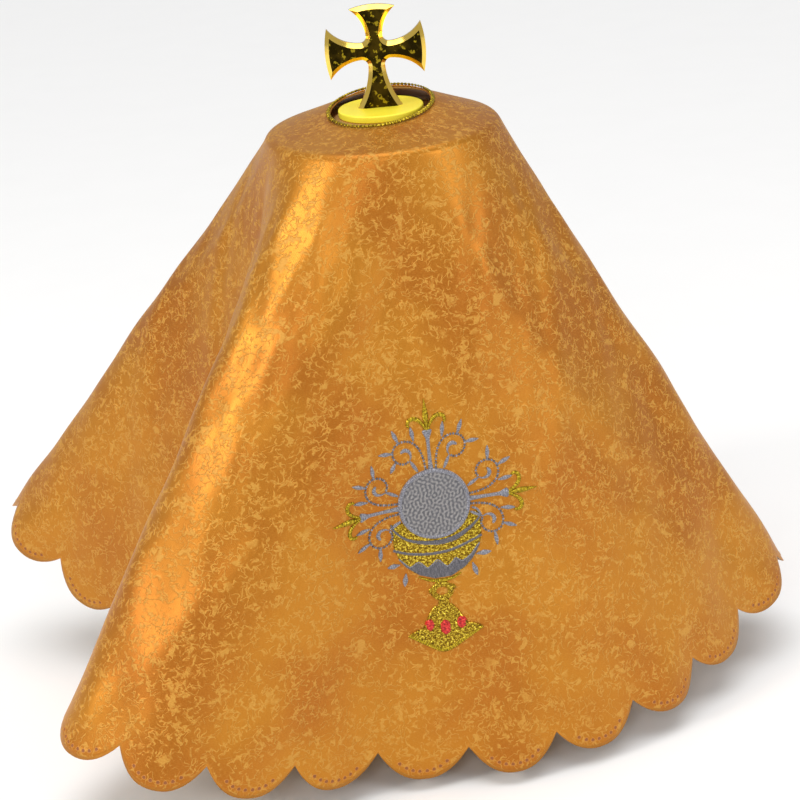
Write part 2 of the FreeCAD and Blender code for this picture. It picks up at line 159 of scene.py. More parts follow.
def damaskFinish():  # satin ground with a matt crackle figure woven in it
    damask = {"ground": srgb(188, 120, 24), "groundDeep": srgb(172, 98, 12), "figure": srgb(198, 142, 48),
              "figurePale": srgb(208, 158, 66), "band": srgb(198, 134, 44), "line": 4.2, "blotch": 6.5}
    cloth = Finish("goldDamask", SheenWeight=0.12, SheenRoughness=0.4, SheenTint=srgb(255, 214, 130))
    where = cloth.cut()
    wander = cloth.node("ShaderNodeTexNoise", None, {"Vector": where, "Scale": 150.0, "Detail": 2.0}, "Color")
    push = cloth.node("ShaderNodeVectorMath", {"operation": "SCALE"}, {0: wander, "Scale": 0.005})
    bent = cloth.node("ShaderNodeVectorMath", {"operation": "ADD"}, {0: where, 1: push})
    crossing = cloth.stretch(bent, (1, 1, 1), 1.1)
    area = cloth.noise(where, 9, 2)
    lines = abs(cloth.noise(bent, damask["line"], 1, 0.5) - 0.5).rise(0.012, 0.05, 1, 0)
    hairs = abs(cloth.noise(crossing, damask["line"] * 0.9, 1, 0.4) - 0.47).rise(0.01, 0.04, 1, 0)
    lines = lines * cloth.noise(where, 6, 1).rise(0.42, 0.54)
    hairs = hairs * cloth.noise(crossing, 5, 1).rise(0.45, 0.56)
    blotches = cloth.noise(bent, damask["blotch"], 3, 0.3, 0.6).rise(0.58, 0.64) * area.rise(0.42, 0.58)
    inside = cloth.value("hem").rise(0.8, 1.6)
    figure = lines.most(hairs).most(blotches) * inside
    grain = cloth.noise(cloth.stretch(where, (1, 3, 1)), 1.2, 2)
    ground = cloth.mix(cloth.noise(where, 60, 2).rise(0.35, 0.65), damask["ground"], damask["groundDeep"])
    ground = cloth.mix(grain.rise(0.3, 0.75) * 0.3, ground, damask["figure"])
    pale = cloth.mix(grain.rise(0.3, 0.7), damask["figure"], damask["figurePale"])
    colour = cloth.mix(figure * 0.7, ground, pale)
    cloth.feed("Base Color", cloth.mix((1 - inside) * 0.5, colour, damask["band"]))
    cloth.feed("Metallic", 0.6 - figure * 0.25)
    cloth.feed("Roughness", figure * 0.14 + grain * 0.08 + 0.35)
    weave = cloth.node("ShaderNodeTexWave", {"wave_type": "BANDS", "bands_direction": "DIAGONAL"},
                       {"Vector": where, "Scale": 560.0, "Distortion": 0.6})
    cloth.bump(figure * 0.8 + grain * 0.3 + weave * 0.12, 0.16, 0.8)
    return cloth.material


def liningFinish():
    lining = Finish("satinLining", Roughness=0.4, SheenWeight=0.3, SheenRoughness=0.3)
    where = lining.cut()
    grain = lining.noise(lining.stretch(where, (1, 12, 1)), 2.5, 2)
    lining.feed("Base Color", lining.mix(grain, srgb(196, 152, 88), srgb(222, 182, 120)))
    lining.bump(grain, 0.05, 0.6)
    return lining.material


def threadFinish(name, dark, middle, light, metal, roughness, across=0.34, sparkle=0.0, pull=0.12):
    # rows of thread lie across the column: the cut's first coordinate runs along it
    thread = Finish(name, Metallic=metal, Roughness=roughness, SheenWeight=0.0 if metal else 0.3)
    where = thread.cut()
    rows = thread.noise(thread.stretch(where, (1, pull, 1)), across, 1.5, 0, 0.6)
    glint = thread.noise(where, across * 1.7, 1.0)
    # the glint noise paints lighter specks into the colour: painted glints
    tone = rows * 0.65 + glint * 0.35
    colour = thread.node("ShaderNodeValToRGB",
                         {"stops": [(0.36, dark), (0.5, middle), (0.66, light)]}, {"Fac": tone})
    thread.feed("Base Color", colour)
    if sparkle:
        thread.feed("Roughness", glint.rise(0.45, 0.62, roughness + 0.15, roughness - sparkle))
    thread.bump(tone, 0.22, 1.0)
    return thread.material


def hostFinish():  # the host's ground of short curling stitches, raised in the mesh
    host = Finish("hostStitches", Roughness=0.42, SheenWeight=0.3)
    where = host.cut()
    ridge = host.value("ridge")
    fleck = host.noise(where, 0.6, 2)
    # painted light and shade: lighter on the raised ridges, darker in the grooves between them
    tone = ridge * 0.55 + fleck * 0.6
    host.feed("Base Color", host.node("ShaderNodeValToRGB", {"stops": [
        (0.2, srgb(72, 72, 78)), (0.6, srgb(112, 110, 112)), (1.0, srgb(150, 146, 144))]}, {"Fac": tone}))
    host.bump(host.noise(host.stretch(where, (1, 0.2, 1)), 0.35, 1), 0.12, 0.9)
    return host.material


def giltFinish(name, colour, worn, roughness, metal=1.0):
    gilt = Finish(name, Metallic=metal, Roughness=roughness)
    where = gilt.place()
    cloudy = gilt.noise(where, 14, 3)
    scuff = gilt.noise(gilt.stretch(where, (1, 1, 5)), 2.2, 3)
    gilt.feed("Base Color", gilt.mix(cloudy.rise(0.35, 0.7), colour, worn))
    gilt.feed("Roughness", cloudy * 0.12 + scuff * 0.08 + (roughness - 0.08))
    turned = gilt.node("ShaderNodeTexWave", {"wave_type": "RINGS", "rings_direction": "Z"},
                       {"Vector": where, "Scale": 420.0, "Distortion": 0.4, "Detail": 1.0})
    height = scuff * 0.3 + turned * 0.5
    gilt.bump(height, 0.02, 0.5)
    return gilt.material


def crossFinish():  # faces painted dark, a painted reflection of dark surroundings with painted glints in it, between bright bevels
    cross = Finish("polishedCross", Metallic=1.0, Roughness=0.18)
    where = cross.place()
    depth = cross.node("ShaderNodeSeparateXYZ", None, {"Vector": where}, "Y")
    face = abs(depth).rise(2.86 * mm, 2.93 * mm)
    cloudy = cross.noise(where, 6, 3)
    # painted glints: small gold specks in the dark faces
    paintedGlints = cross.noise(where, 2.1, 2).rise(0.6, 0.68)
    # painted reflection: the faces' near black gold stands in for dark surroundings mirrored in polished metal
    paintedDarkReflection = cross.mix(cloudy.rise(0.4, 0.65), srgb(36, 28, 6), srgb(66, 52, 12))
    paintedDarkReflection = cross.mix(paintedGlints * 0.6, paintedDarkReflection, srgb(190, 165, 40))
    bright = cross.mix(cloudy, srgb(255, 226, 120), srgb(246, 196, 66))
    cross.feed("Base Color", cross.mix(face, bright, paintedDarkReflection))
    cross.feed("Roughness", cloudy * 0.12 + face * 0.14 + 0.08)
    cross.bump(cloudy, 0.05, 0.4)
    return cross.material


def feltFinish():
    felt = Finish("redFelt", Roughness=0.95, SheenWeight=0.6)
    where = felt.place()
    fibre = felt.noise(where, 0.6, 4, 1.5)
    felt.feed("Base Color", felt.mix(fibre, srgb(66, 14, 20), srgb(104, 30, 36)))
    felt.bump(fibre, 0.3)
    return felt.material


def eyeletFinish():  # dark in the hole, a painted shade, and cloth coloured thread on its rim
    eyelet = Finish("eyeletThread", Roughness=0.55)
    reach = eyelet.value("reach")
    # painted shade: darker towards the middle, where the hole would be in shade
    eyelet.feed("Base Color", eyelet.node("ShaderNodeValToRGB", {"stops": [
        (0.0, srgb(104, 54, 20)), (0.5, srgb(136, 76, 28)), (0.85, srgb(196, 126, 40))]}, {"Fac": reach}))
    eyelet.bump(eyelet.noise(eyelet.place(), 0.5, 2), 0.1)
    return eyelet.material


finishes = {
    "damask": damaskFinish(),
    "lining": liningFinish(),
    "gold": threadFinish("goldThread", srgb(84, 66, 0), srgb(156, 130, 10), srgb(240, 214, 60), 0.7, 0.42,
                         0.5, 0.2),
    "glitter": threadFinish("glitterThread", srgb(80, 58, 0), srgb(150, 116, 4), srgb(250, 226, 80), 0.7,
                            0.42, 0.8, 0.2, 1.0),
    "silver": threadFinish("silverThread", srgb(66, 66, 74), srgb(112, 112, 122), srgb(172, 172, 180), 0.0,
                           0.36),
    "steel": threadFinish("greyThread", srgb(52, 50, 56), srgb(80, 78, 84), srgb(112, 110, 116), 0.0, 0.4),
    "red": threadFinish("redThread", srgb(110, 4, 4), srgb(184, 16, 14), srgb(250, 84, 70), 0.1, 0.34,
                        0.7, 0.15, 0.6),
    "host": hostFinish(),
    "gilt": giltFinish("satinGilt", srgb(222, 176, 92), srgb(200, 148, 66), 0.26),
    # the lid dome's gold is toned tan, a painted reflection of the cloth round it
    "lidGilt": giltFinish("lidGilt", srgb(196, 152, 92), srgb(176, 134, 78), 0.5, 0.6),
    "brass": giltFinish("machinedBrass", srgb(196, 164, 96), srgb(170, 134, 70), 0.34),
    # the boss's flat bright yellow is a painted highlight, the light caught on a polished gold dome
    "boss": giltFinish("brightGilt", srgb(255, 240, 66), srgb(255, 232, 54), 0.4, 0.05),
    "cross": crossFinish(),
    "felt": feltFinish(),
    "eyelet": eyeletFinish(),
}
print("finishes mixed:", len(finishes))


# metal parts keep their own shape and take a finish

metalwork = {"gilt": ["foot_ring", "foot_shell", "foot_collar", "lower_stem", "lower_knop_collar", "knop",
                      "upper_knop_collar", "upper_stem", "cup_collar", "cup_bowl", "cup_calyx",
                      "cup_rim_bead", "lid_rim", "lid_band", "lid_sleeve"],
             "lidGilt": ["lid_dome"],
             "brass": ["foot_plate", "foot_nut", "foot_washer", "lid_nut", "lid_washer", "tie_rod",
                       "cross_stud", "cup_socket"],
             "boss": ["lid_boss"], "cross": ["cross"], "felt": ["foot_felt"]}
for finish, names in metalwork.items():
    for name in names:
        parts = [nodes[name]] + [child for child in nodes[name].children_recursive if child.type == "MESH"]
        for part in parts:
            if part.type == "MESH":
                for i in range(len(part.material_slots)):
                    part.material_slots[i].material = finishes[finish]
print("metalwork finished")


# the veil's shape, in millimetres: a round top over the lid and a skirt that hangs in deep folds

veil = {
    "holeRadius": 24.0, "ringHeight": 313.6, "ringTilt": 3.9, "dipTurn": 245.0,
    "shoulderRadius": 55.0, "shoulderHeight": 304.4, "skirt": 288.0,
    "shoulderTurn": 230.2, "scallops": 30, "scallopDepth": 14.5, "scallopPhase": -0.05,
    "perScallop": 20, "bend": 3.0, "plainRun": 262.0, "topRows": 8, "hemRows": 12, "seamScallop": 17,
    "thickness": 0.55, "linedFrom": 0.62, "liningThickness": 0.32,
    # each direction and how far out the hem hangs there
    "hem": [(208, 200), (217, 196), (226, 184), (236, 150), (248, 110), (268, 98), (295, 108), (319, 121),
            (340, 141), (356, 166), (5, 188), (14, 178), (25, 140), (45, 112), (64, 128), (76, 176),
            (85, 200), (93, 182), (105, 136), (121, 114), (137, 140), (147, 205), (153, 242), (159, 234),
            (164, 186), (172, 144), (183, 126), (194, 146), (201, 180)],
    # soft buckles: how many round the hem, their length down the cloth, height, and two starting angles
    "buckles": [(9, 150, 0.7, 0.4, 2.0), (16, 95, 0.55, 1.9, 0.3), (27, 60, 0.35, 3.1, 1.2),
                (41, 43, 0.22, 0.8, 2.6)],
}
hemTurns = np.cumsum([veil["hem"][0][0]] + [(b[0] - a[0]) % 360 for a, b in
                                            zip(veil["hem"], veil["hem"][1:] + veil["hem"][:1])])
hemOuts = np.array([out for turn, out in veil["hem"]], float)


def hemReach(turn):  # a smooth closed curve through the hem's distances
    turn = (turn - hemTurns[0]) % 360 + hemTurns[0]
    count = len(hemOuts)
    i = np.clip(np.searchsorted(hemTurns, turn, side="right") - 1, 0, count - 1)
    wide = np.concatenate([[hemTurns[-2] - 360], hemTurns, [hemTurns[1] + 360]])
    a = [wide[i + k] for k in range(4)]
    r = [hemOuts[(i + k - 1) % count] for k in range(4)]
    span = a[2] - a[1]
    t = (turn - a[1]) / span
    before = (r[2] - r[0]) / (a[2] - a[0]) * span
    after = (r[3] - r[1]) / (a[3] - a[1]) * span
    return (r[1] * (1 + 2 * t) * (1 - t) ** 2 + before * t * (1 - t) ** 2
            + r[2] * t * t * (3 - 2 * t) + after * t * t * (t - 1))


def roundTop(radius, share, height=None):  # on the round top, whose hole dips to one side
    turn = np.radians(veil["shoulderTurn"] + 360 * share)
    if height is None:
        dip = veil["ringTilt"] * np.cos(turn - math.radians(veil["dipTurn"]))
        way = (radius - veil["holeRadius"]) / (veil["shoulderRadius"] - veil["holeRadius"])
        height = (veil["ringHeight"] - dip) * (1 - way) + veil["shoulderHeight"] * way
    return np.stack([radius * np.cos(turn), radius * np.sin(turn), height + 0 * share], -1)


def hangHem():  # every ruling of the skirt is as long as the cloth, so a wide fold hangs higher
    turn = hemTurns[0] + np.arange(721) / 2
    reach, angle = hemReach(turn), np.radians(turn)
    plan = np.stack([reach * np.cos(angle), reach * np.sin(angle), 0 * reach], -1)
    line = plan
    for again in range(5):
        share = np.concatenate([[0], np.cumsum(np.linalg.norm(np.diff(line, axis=0), axis=1))])
        length, share = share[-1], share / share[-1]
        across = np.sum((plan - roundTop(veil["shoulderRadius"], share, 0)) ** 2, -1)
        height = veil["shoulderHeight"] - np.sqrt(veil["skirt"] ** 2 - across)
        line = plan + np.array([0, 0, 1]) * height[:, None]
    return line, share, length


hemLine, hemShare, hemLength = hangHem()


def scallop(t):
    return veil["scallopDepth"] * (1 - np.abs(2 * t - 1) ** 2.4)


def scallopSlope(t):  # per scallop width
    return -veil["scallopDepth"] * 4.8 * np.abs(2 * t - 1) ** 1.4 * np.sign(2 * t - 1)


def unit(v):
    return v / np.linalg.norm(v, axis=-1, keepdims=True)


def veilAt(share, run):  # share round the hem; run down the cloth from the shoulder, negative on the top
    corner = roundTop(veil["shoulderRadius"], share)
    notch = np.stack([np.interp(share % 1.0, hemShare, hemLine[:, k]) for k in range(3)], -1)
    fall = unit(notch - corner)
    outward = unit(corner - roundTop(veil["holeRadius"], share))
    bend = veil["bend"]
    t = np.clip((run + bend) / (2 * bend), 0, 1)[..., None]
    curve = -outward * bend * (1 - t) ** 2 + fall * bend * t ** 2
    return (corner + curve + outward * np.minimum(run + bend, 0)[..., None]
            + fall * np.maximum(run - bend, 0)[..., None])


columns = veil["scallops"] * veil["perScallop"]
upperRuns = np.concatenate([np.linspace(-veil["bend"], veil["bend"], 7),
                            np.linspace(veil["bend"], veil["plainRun"], 58)[1:]])
seamShare = (veil["seamScallop"] + veil["scallopPhase"]) / veil["scallops"]
columnShare = seamShare + np.arange(columns + 1) / columns
columnInScallop = (np.arange(columns + 1) % veil["perScallop"]) / veil["perScallop"]


def topRun(share):  # from the hole's edge to the shoulder
    across = roundTop(veil["shoulderRadius"], share) - roundTop(veil["holeRadius"], share)
    return np.linalg.norm(across, axis=-1)


def runGrid(inset=0.0):  # the first and last stretches follow the hole and the scallops
    end = veil["skirt"] + scallop(columnInScallop) - inset
    down = np.arange(1, veil["hemRows"] + 1)[:, None] / veil["hemRows"]
    last = veil["plainRun"] + down * (end - veil["plainRun"])[None, :]
    bend = veil["bend"]
    top = -bend - (topRun(columnShare) - inset - bend) * np.linspace(1, 0, veil["topRows"] + 1)[:-1, None]
    return np.concatenate([top, np.repeat(upperRuns[:, None], columns + 1, 1), last])


def layVeil():
    run = runGrid()
    share = np.repeat(columnShare[None, :], run.shape[0], 0)
    points = veilAt(share, run)
    away = np.cross(veilAt(share + 0.0008, run) - veilAt(share - 0.0008, run),
                    veilAt(share, run + 0.5) - veilAt(share, run - 0.5))
    away = unit(away)
    if np.mean(np.sum(away * unit(points - np.array([0, 0, 150.0])), -1)) < 0:
        away = -away
    lift = 0 * run
    for count, length, height, first, second in veil["buckles"]:
        lift += height * (np.sin(2 * math.pi * count * share + first)
                          * np.sin(2 * math.pi * run / length + second))
    lift *= np.clip((run - 6) / 40, 0, 1) ** 1.5
    flutter = 0.9 * np.cos(2 * math.pi * columnInScallop)[None, :] * np.clip((run - 240) / 45, 0, 1) ** 2
    return points + away * (lift - flutter)[..., None], away


clothPoints, clothAway = layVeil()
rowOfRun = veil["topRows"] + np.arange(len(upperRuns))


def onCloth(share, run, height):  # place on the hung cloth, so high above its face
    along = (share - seamShare) % 1.0 * columns
    c = np.floor(along).astype(int) % columns
    s = (along - np.floor(along))[..., None]
    t = ((share * veil["scallops"] - veil["scallopPhase"]) % 1.0)
    end = veil["skirt"] + scallop(t)
    row = np.where(run <= veil["plainRun"], np.interp(run, upperRuns, rowOfRun),
                   rowOfRun[-1] + (run - veil["plainRun"]) / (end - veil["plainRun"]) * veil["hemRows"])
    long = topRun(share)
    row = np.where(run < -veil["bend"], (run + long) / (long - veil["bend"]) * veil["topRows"], row)
    r = np.clip(np.floor(row).astype(int), 0, clothPoints.shape[0] - 2)
    w = (row - r)[..., None]

    def between(grid):
        return ((grid[r, c] * (1 - s) + grid[r, c + 1] * s) * (1 - w)
                + (grid[r + 1, c] * (1 - s) + grid[r + 1, c + 1] * s) * w)

    return between(clothPoints) + unit(between(clothAway)) * height[..., None]


# the cloth was cut as part of a flat ring, so its pattern is laid out on that
fanTurn = (hemLength - 2 * math.pi * veil["shoulderRadius"]) / veil["skirt"]
fanRadius = 2 * math.pi * veil["shoulderRadius"] / fanTurn


def cutPlace(share, run):
    turn = (share - seamShare - 0.5) * fanTurn
    return np.stack([(fanRadius + run) * np.sin(turn), -(fanRadius + run) * np.cos(turn)], -1) * mm


def meshFrom(name, points, faces, cut=None, smooth=True):  # points in mm; cut: a place for each face corner
    mesh = bpy.data.meshes.new(name)
    mesh.from_pydata((np.asarray(points) * mm).tolist(), [], [tuple(map(int, f)) for f in faces])
    if cut is not None:
        layer = mesh.uv_layers.new(name="cut")
        layer.data.foreach_set("uv", np.asarray(cut, np.float32).ravel())
    if smooth:
        mesh.polygons.foreach_set("use_smooth", [True] * len(mesh.polygons))
    mesh.update()
    piece = bpy.data.objects.new(name, mesh)
    bpy.context.scene.collection.objects.link(piece)
    return piece


def pointValue(piece, name, values):
    piece.data.attributes.new(name, "FLOAT", "POINT").data.foreach_set("value", np.asarray(values, np.float32))


def applyModifier(piece, kind, **settings):
    deselectAll()
    bpy.context.view_layer.objects.active = piece
    piece.select_set(True)
    modifier = piece.modifiers.new(kind.lower(), kind)
    for setting, value in settings.items():
        setattr(modifier, setting, value)
    bpy.ops.object.modifier_apply(modifier=modifier.name)
    piece.select_set(False)


def clothSheet(name, inset, sink, thickness, everyColumn, everyRow):
    run = runGrid(inset)
    picked = np.unique(np.concatenate([np.arange(0, len(run) - veil["hemRows"], everyRow),
                                       np.arange(len(run) - veil["hemRows"] - 1, len(run))]))
    run = run[picked][:, ::everyColumn]
    share = np.repeat(columnShare[None, ::everyColumn], len(run), 0)
    rows, wide = run.shape[0], run.shape[1] - 1
    points = onCloth(share[:, :-1], run[:, :-1], np.full((rows, wide), -sink))
    index = np.arange(rows * wide).reshape(rows, wide)
    ahead = np.roll(index, -1, 1)
    faces = np.stack([index[:-1], index[1:], ahead[1:], ahead[:-1]], -1).reshape(-1, 4)
    place = cutPlace(share, run)
    cut = np.stack([place[:-1, :-1], place[1:, :-1], place[1:, 1:], place[:-1, 1:]], 2).reshape(-1, 2)
    piece = meshFrom(name, points.reshape(-1, 3), faces, cut)
    t = ((share * veil["scallops"] - veil["scallopPhase"]) % 1.0)[:, :-1]
    gap = veil["skirt"] + scallop(t) - run[:, :-1]
    pitch = hemLength / veil["scallops"]
    pointValue(piece, "hem", (gap / np.hypot(1, scallopSlope(t) / pitch)).ravel())
    applyModifier(piece, "SOLIDIFY", thickness=thickness * mm, offset=-1.0, use_even_offset=False)
    return piece


veilCloth = clothSheet("veilCloth", 0.0, 0.0, veil["thickness"], 1, 1)
veilLining = clothSheet("veilLining", 1.5, veil["linedFrom"], veil["liningThickness"], 2, 2)
veilCloth.data.materials.append(finishes["damask"])
veilLining.data.materials.append(finishes["lining"])
for sheet, node, slot in ((veilCloth, "veil_cloth", "gold_damask"), (veilLining, "veil_lining", "satin_lining")):
    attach(sheet, "veil")
    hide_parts(node)
    print(sheet.name, "laid,", len(sheet.data.polygons), "faces")


# templates are modelled once with the usual tools, and their copies are laid on the cloth

def takeTemplate():  # the finished active object's points in mm and its faces
    piece = bpy.context.object
    bpy.ops.object.mode_set(mode="OBJECT")
    points = np.array([v.co[:] for v in piece.data.vertices]) / mm
    faces = [tuple(f.vertices) for f in piece.data.polygons]
    bpy.data.objects.remove(piece, do_unlink=True)
    return points, faces


def joinCopies(name, template, placed):  # placed: each copy's points
    points, faces = template
    count = len(points)
    everyFace = [tuple(i + n * count for i in face) for n in range(len(placed)) for face in faces]
    return meshFrom(name, np.concatenate(placed), everyFace)


def clothEyelets():
    eyelets = {"each": 8, "from": 0.18, "to": 0.82, "inFromEdge": 4.3, "width": 2.4, "rim": 0.24}
    deselectAll()
    bpy.ops.mesh.primitive_circle_add(vertices=9, radius=eyelets["width"] / 2 * mm, fill_type="NGON",
                                      rotation=(0, 0, math.pi / 2))
    bpy.ops.object.transform_apply(location=False, rotation=True, scale=False)
    bpy.ops.object.mode_set(mode="EDIT")
    bpy.ops.mesh.select_all(action="SELECT")
    bpy.ops.mesh.inset(thickness=0.15 * mm)
    bpy.ops.transform.translate(value=(0, 0, eyelets["rim"] * mm))
    bpy.ops.mesh.inset(thickness=0.17 * mm)
    bpy.ops.transform.translate(value=(0, 0, -0.2 * mm))
    bpy.ops.mesh.inset(thickness=0.22 * mm)
    points, faces = takeTemplate()
    reach = np.hypot(points[:, 0], points[:, 1]) / (eyelets["width"] / 2)
    # drawn to a point up the cloth, wide towards the edge
    points[:, 0] *= 1 - 0.42 * points[:, 1] / (eyelets["width"] / 2)
    pitch = hemLength / veil["scallops"]
    placed = []
    for i in range(veil["scallops"]):
        for t in np.linspace(eyelets["from"], eyelets["to"], eyelets["each"]):
            slope = scallopSlope(t) / pitch
            long = math.hypot(1, slope)
            x, y = t * pitch + eyelets["inFromEdge"] * slope / long, scallop(t) - eyelets["inFromEdge"] / long
            angle = math.atan(slope)
            px = points[:, 0] * math.cos(angle) + points[:, 1] * math.sin(angle)
            py = -points[:, 0] * math.sin(angle) + points[:, 1] * math.cos(angle)
            share = (i + veil["scallopPhase"] + (x + px) / pitch) / veil["scallops"]
            placed.append(onCloth(share, veil["skirt"] + y - py, points[:, 2] - 0.02))
    piece = joinCopies("hemEyelets", (points, faces), placed)
    pointValue(piece, "reach", np.tile(reach, len(placed)))
    piece.data.materials.append(finishes["eyelet"])
    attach(piece, "veil")
    return piece


def openingBraid():
    braid = {"radius": 25.0, "lobes": 80, "long": 3.1, "thick": 1.25, "lay": 34}
    deselectAll()
    bpy.ops.mesh.primitive_uv_sphere_add(segments=10, ring_count=8, radius=mm)
    bpy.ops.object.mode_set(mode="EDIT")
    bpy.ops.mesh.select_all(action="SELECT")
    bpy.ops.transform.resize(value=(braid["long"] / 2, braid["thick"] / 2, braid["thick"] / 2))
    points, faces = takeTemplate()
    points = points @ np.array(Matrix.Rotation(math.radians(braid["lay"]), 3, "Z")).T
    # the flat cut's first coordinate runs along each twist, so the thread lies round it
    cut = np.stack([points[:, 0], points[:, 1] * 2], -1) * mm
    angles = np.linspace(0, 2 * math.pi, braid["lobes"], endpoint=False)
    placed = []
    for angle in angles:
        share = (np.degrees(angle + points[:, 0] / braid["radius"]) - veil["shoulderTurn"]) / 360
        lobe = roundTop(braid["radius"] + points[:, 1], share)
        lobe[:, 2] += points[:, 2] + 0.72
        placed.append(lobe)
    piece = joinCopies("openingBraid", (points, faces), placed)
    corners = np.array([i for f in faces for i in f])
    layer = piece.data.uv_layers.new(name="cut")
    layer.data.foreach_set("uv", np.concatenate([cut[corners] + n * 0.013 for n in range(len(angles))])
                           .astype(np.float32).ravel())
    piece.data.materials.append(finishes["gold"])
    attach(piece, "veil")
    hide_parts("opening_braid")
    return piece


hemEyelets = clothEyelets()
braidRing = openingBraid()
print("eyelets and braid sewn")


# embroidery: drawn flat in mm round the host, y up the cloth, then laid on the hung cloth

emblem = {"share": 0.156, "run": 165.0, "lean": 3.5, "sink": 0.2}


def stitchedTo(x, y, height):
    lean = math.radians(emblem["lean"])
    across = x * math.cos(lean) - y * math.sin(lean)
    up = x * math.sin(lean) + y * math.cos(lean)
    far = fanRadius + emblem["run"]
    share = emblem["share"] + np.arctan2(across, far - up) / fanTurn
    return onCloth(share, np.hypot(across, far - up) - fanRadius, height)


def smoothLine(points, count, closed=False):
    # even places along a soft curve through a few points, whose every column is treated alike
    p = np.array(points, float)
    if closed:
        p = np.concatenate([p[-1:], p, p[:2]])
    else:
        p = np.concatenate([2 * p[:1] - p[1:2], p, 2 * p[-1:] - p[-2:-1]])
    fine = []
    for i in range(1, len(p) - 2):
        t = np.linspace(0, 1, 16, endpoint=False)[:, None]
        a, b, c, d = p[i - 1], p[i], p[i + 1], p[i + 2]
        fine.append(0.5 * (2 * b + (c - a) * t + (2 * a - 5 * b + 4 * c - d) * t ** 2
                           + (3 * b - a - 3 * c + d) * t ** 3))
    fine = np.concatenate(fine + [p[-2:-1]])
    gone = np.concatenate([[0], np.cumsum(np.linalg.norm(np.diff(fine[:, :2], axis=0), axis=1))])
    at = np.linspace(0, gone[-1], count)
    return np.stack([np.interp(at, gone, fine[:, k]) for k in range(fine.shape[1])], -1), gone[-1]


